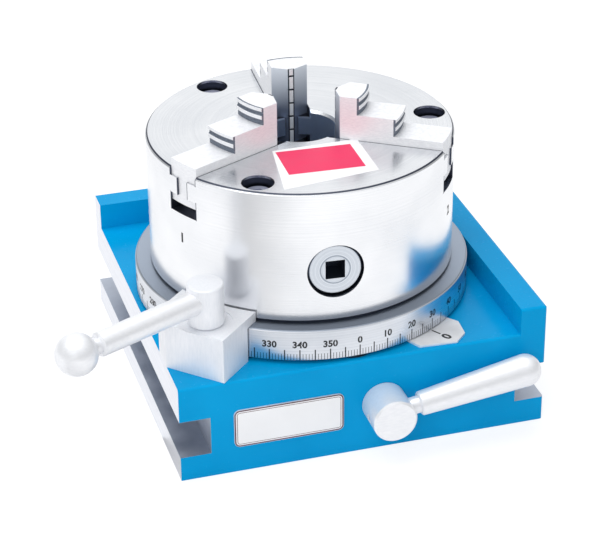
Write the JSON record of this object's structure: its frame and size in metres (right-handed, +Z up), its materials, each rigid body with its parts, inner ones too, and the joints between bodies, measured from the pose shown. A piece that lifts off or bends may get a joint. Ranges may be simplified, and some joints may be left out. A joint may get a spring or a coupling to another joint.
{
  "type": "rapid indexing head with scroll chuck",
  "caption": "Vertical indexing head: iron base with clamp lever and index lever, graduated flange and self-centring scroll chuck with stepped jaws.",
  "frame": {"origin": "on the spindle axis at the base's bottom face", "axes": "+Z up along the spindle axis, -Y out of the front face that carries the index lever, +X to the right along the front face"},
  "size_m": [0.2566, 0.2192, 0.1676],
  "materials": {
    "painted_iron": "gloss",
    "ground_steel": "ground",
    "flange_steel": "satin",
    "dark_steel": "satin",
    "bronze": "satin",
    "plate": "satin"
  },
  "bodies": {
    "base": {"base_casting": "painted_iron", "spindle_bush": "bronze", "thrust_washer": "dark_steel", "zero_plate": "ground_steel", "name_plate": "plate", "clamp_block": "ground_steel", "clamp_stud": "dark_steel", "lever_bush": "bronze", "plunger_bush": "dark_steel", "spring_plug": "dark_steel", "plunger_spring": "dark_steel"},
    "spindle": {"index_spindle": "flange_steel", "spindle_nut": "dark_steel", "chuck_body": "ground_steel", "chuck_cover": "dark_steel", "chuck_screws": "dark_steel", "cover_screws": "dark_steel", "pinion_pins": "dark_steel"},
    "scroll": {"scroll_plate": "dark_steel"},
    "key_pinion_1": {"pinion_1": "dark_steel"},
    "key_pinion_2": {"pinion_2": "dark_steel"},
    "key_pinion_3": {"pinion_3": "dark_steel"},
    "stepped_jaw_1": {"jaw_1": "ground_steel"},
    "stepped_jaw_2": {"jaw_2": "ground_steel"},
    "stepped_jaw_3": {"jaw_3": "ground_steel"},
    "clamp_lever": {"clamp_post": "ground_steel", "clamp_rod": "ground_steel", "clamp_ball": "ground_steel"},
    "index_lever": {"lever_shaft": "dark_steel", "lever_hub": "ground_steel", "hub_set_screw": "dark_steel", "handle_stud": "ground_steel", "lever_handle": "ground_steel"},
    "plunger": {"index_plunger": "dark_steel"}
  },
  "joints": [
    {"name": "spindle_turn", "type": "hinge", "parent": "base", "child": "spindle", "pos_m": [0, 0, 0.06], "axis": [0, 0, 1], "continuous": true},
    {"name": "scroll_turn", "type": "hinge", "parent": "spindle", "child": "scroll", "pos_m": [0, 0, 0.115], "axis": [0, 0, 1], "range_deg": [-540, 780]},
    {"name": "pinion_turn_1", "type": "hinge", "parent": "spindle", "child": "key_pinion_1", "pos_m": [-0.00398, -0.05987, 0.1006], "axis": [-0.0663, -0.9978, 0], "range_deg": [-3125, 2165]},
    {"name": "pinion_turn_2", "type": "hinge", "parent": "spindle", "child": "key_pinion_2", "pos_m": [0.05384, 0.02649, 0.1006], "axis": [0.8973, 0.4415, 0], "range_deg": [-3125, 2165]},
    {"name": "pinion_turn_3", "type": "hinge", "parent": "spindle", "child": "key_pinion_3", "pos_m": [-0.04986, 0.03338, 0.1006], "axis": [-0.831, 0.5563, 0], "range_deg": [-3125, 2165]},
    {"name": "jaw_slide_1", "type": "slide", "parent": "spindle", "child": "stepped_jaw_1", "axis": [-0.8973, -0.4415, 0], "range_m": [-0.0175, 0.0122]},
    {"name": "jaw_slide_2", "type": "slide", "parent": "spindle", "child": "stepped_jaw_2", "axis": [0.831, -0.5563, 0], "range_m": [-0.0175, 0.0122]},
    {"name": "jaw_slide_3", "type": "slide", "parent": "spindle", "child": "stepped_jaw_3", "axis": [0.0663, 0.9978, 0], "range_m": [-0.0175, 0.0122]},
    {"name": "clamp_turn", "type": "hinge", "parent": "base", "child": "clamp_lever", "pos_m": [-0.07, -0.07, 0.09], "axis": [0, 0, 1], "range_deg": [-15, 90]},
    {"name": "lever_turn", "type": "hinge", "parent": "base", "child": "index_lever", "pos_m": [0.01641, -0.09, 0.0269], "axis": [0, -1, 0], "range_deg": [0, 80]},
    {"name": "plunger_slide", "type": "slide", "parent": "base", "child": "plunger", "axis": [0, 0, -1], "range_m": [0, 0.0085], "stiffness_N_per_m": 800, "springref_m": -0.005, "deforming": ["plunger_spring"]}
  ],
  "couplings": [
    {"joint": "pinion_turn_1", "follows": "scroll_turn", "ratio": -4},
    {"joint": "pinion_turn_2", "follows": "scroll_turn", "ratio": -4},
    {"joint": "pinion_turn_3", "follows": "scroll_turn", "ratio": -4},
    {"joint": "jaw_slide_1", "follows": "scroll_turn", "m_per_rad": -0.0012732},
    {"joint": "jaw_slide_2", "follows": "scroll_turn", "m_per_rad": -0.0012732},
    {"joint": "jaw_slide_3", "follows": "scroll_turn", "m_per_rad": -0.0012732},
    {"joint": "plunger_slide", "follows": "lever_turn", "m_per_rad": 0.006}
  ]
}
